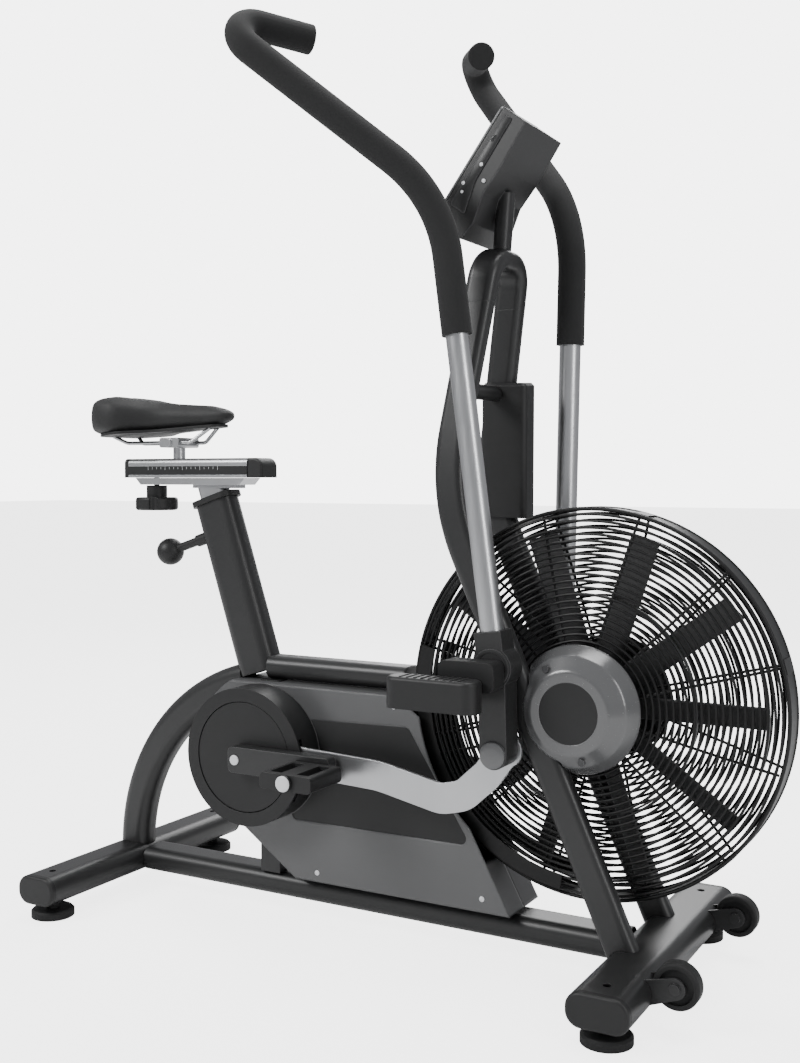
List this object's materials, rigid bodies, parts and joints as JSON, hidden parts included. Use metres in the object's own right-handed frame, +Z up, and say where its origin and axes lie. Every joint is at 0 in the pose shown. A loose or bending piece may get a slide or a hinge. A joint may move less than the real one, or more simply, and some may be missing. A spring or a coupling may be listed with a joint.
{
  "type": "air_bike",
  "caption": "Upright exercise bike with a caged air fan in front, a belt drive, pedals, and two swinging push-pull arms linked to the cranks",
  "frame": {"origin": "On the floor, below the middle of the machine as seen from above.", "axes": "+X forward, from the saddle to the fan; +Y to the rider's left; +Z up."},
  "size_m": [1.283, 0.5808, 1.5311],
  "materials": {
    "frame_paint": "satin",
    "dark_plastic": "matte",
    "black_rubber": "matte",
    "steel": "satin",
    "black_wire": "gloss",
    "hub_grey": "gloss",
    "shroud_grey": "satin",
    "satin_silver": "satin",
    "dark_casting": "satin",
    "grip_foam": "matte",
    "saddle_vinyl": "matte",
    "console_plastic": "satin",
    "screen_glass": "gloss"
  },
  "bodies": {
    "frame": {"axle_plates": "frame_paint", "belt": "black_rubber", "bottom_bracket": "frame_paint", "console_body": "console_plastic", "console_screen": "screen_glass", "drum_bezels": "dark_plastic", "fan_axle": "steel", "fan_fasteners": "steel", "footrests": "dark_plastic", "front_stabiliser": "frame_paint", "guard_rim": "black_wire", "guard_side_left": "black_wire", "guard_side_right": "black_wire", "hub_badges": "dark_plastic", "hub_covers": "hub_grey", "levelling_feet": "black_rubber", "lever_axles": "steel", "limb_sleeve": "dark_plastic", "main_rail": "frame_paint", "mast_crown": "frame_paint", "mast_left": "frame_paint", "mast_right": "frame_paint", "rear_arch": "frame_paint", "rear_stabiliser": "frame_paint", "seat_tube": "frame_paint", "seat_tube_fittings": "dark_plastic", "shroud_left": "shroud_grey", "shroud_right": "shroud_grey", "stabiliser_end_caps": "dark_plastic", "top_beam": "frame_paint", "wheel_forks": "frame_paint"},
    "crank": {"crank_axle": "steel", "drive_pulley": "steel", "crank_webs": "steel", "crank_discs": "dark_plastic", "crank_arms": "dark_casting"},
    "fan": {"fan_blades": "black_wire", "fan_hub": "steel"},
    "pedal_left": {"pedal_left": "dark_plastic"},
    "pedal_right": {"pedal_right": "dark_plastic"},
    "link_left": {"link_left": "satin_silver"},
    "link_right": {"link_right": "satin_silver"},
    "lever_left": {"lever_left": "dark_casting", "lever_tube_left": "satin_silver", "grip_left": "grip_foam"},
    "lever_right": {"lever_right": "dark_casting", "lever_tube_right": "satin_silver", "grip_right": "grip_foam"},
    "wheel_left": {"transport_wheel_left": "black_rubber"},
    "wheel_right": {"transport_wheel_right": "black_rubber"},
    "seat_post": {"seat_post": "satin_silver", "slide_base": "satin_silver"},
    "saddle": {"slide_rail": "satin_silver", "slide_trim": "dark_plastic", "saddle_clamp": "satin_silver", "saddle_wires": "steel", "saddle_shell": "dark_plastic", "saddle_pad": "saddle_vinyl"},
    "knob": {"clamp_knob": "dark_plastic"},
    "pin": {"pull_pin": "dark_plastic"}
  },
  "joints": [
    {"name": "crank_spin", "type": "hinge", "parent": "frame", "child": "crank", "pos_m": [-0.2495, 0, 0.293], "axis": [0, 1, 0], "continuous": true},
    {"name": "fan_spin", "type": "hinge", "parent": "frame", "child": "fan", "pos_m": [0.3385, 0, 0.421], "axis": [0, 1, 0], "continuous": true},
    {"name": "pedal_left_spin", "type": "hinge", "parent": "crank", "child": "pedal_left", "pos_m": [-0.4155, 0.1855, 0.293], "axis": [0, 1, 0], "continuous": true},
    {"name": "pedal_right_spin", "type": "hinge", "parent": "crank", "child": "pedal_right", "pos_m": [-0.0835, -0.1855, 0.293], "axis": [0, 1, 0], "continuous": true},
    {"name": "link_left_turn", "type": "hinge", "parent": "crank", "child": "link_left", "pos_m": [-0.257, 0.1025, 0.275], "axis": [0, 1, 0], "continuous": true},
    {"name": "link_right_turn", "type": "hinge", "parent": "crank", "child": "link_right", "pos_m": [-0.242, -0.1025, 0.311], "axis": [0, 1, 0], "continuous": true},
    {"name": "lever_right_swing", "type": "hinge", "parent": "frame", "child": "lever_right", "pos_m": [0.2325, -0.132, 0.486], "axis": [0, 1, 0], "range_deg": [-4.4, 13.1]},
    {"name": "lever_left_swing", "type": "hinge", "parent": "frame", "child": "lever_left", "pos_m": [0.2325, 0.132, 0.486], "axis": [0, 1, 0], "range_deg": [-13.1, 4.4]},
    {"name": "wheel_left_roll", "type": "hinge", "parent": "frame", "child": "wheel_left", "pos_m": [0.52212, 0.16, 0.07], "axis": [0, 1, 0], "continuous": true},
    {"name": "wheel_right_roll", "type": "hinge", "parent": "frame", "child": "wheel_right", "pos_m": [0.52212, -0.16, 0.07], "axis": [0, 1, 0], "continuous": true},
    {"name": "seat_post_slide", "type": "slide", "parent": "frame", "child": "seat_post", "axis": [-0.309, 0, 0.9511], "range_m": [0, 0.18]},
    {"name": "saddle_slide", "type": "slide", "parent": "seat_post", "child": "saddle", "axis": [1, 0, 0], "range_m": [-0.05, 0.03]},
    {"name": "clamp_knob_turn", "type": "hinge", "parent": "seat_post", "child": "knob", "pos_m": [-0.5285, 0, 0.768], "axis": [0, 0, 1], "range_deg": [0, 360]},
    {"name": "pull_pin_pull", "type": "slide", "parent": "frame", "child": "pin", "axis": [-0.9511, 0, -0.309], "range_m": [0, 0.01], "stiffness_N_per_m": 900, "springref_m": -0.004}
  ],
  "couplings": [
    {"joint": "fan_spin", "follows": "crank_spin", "ratio": 2.5714},
    {"joint": "link_left_turn", "follows": "crank_spin", "ratio": -1},
    {"joint": "link_right_turn", "follows": "crank_spin", "ratio": -1},
    {"joint": "lever_left_swing", "follows": "lever_right_swing", "ratio": -1}
  ]
}
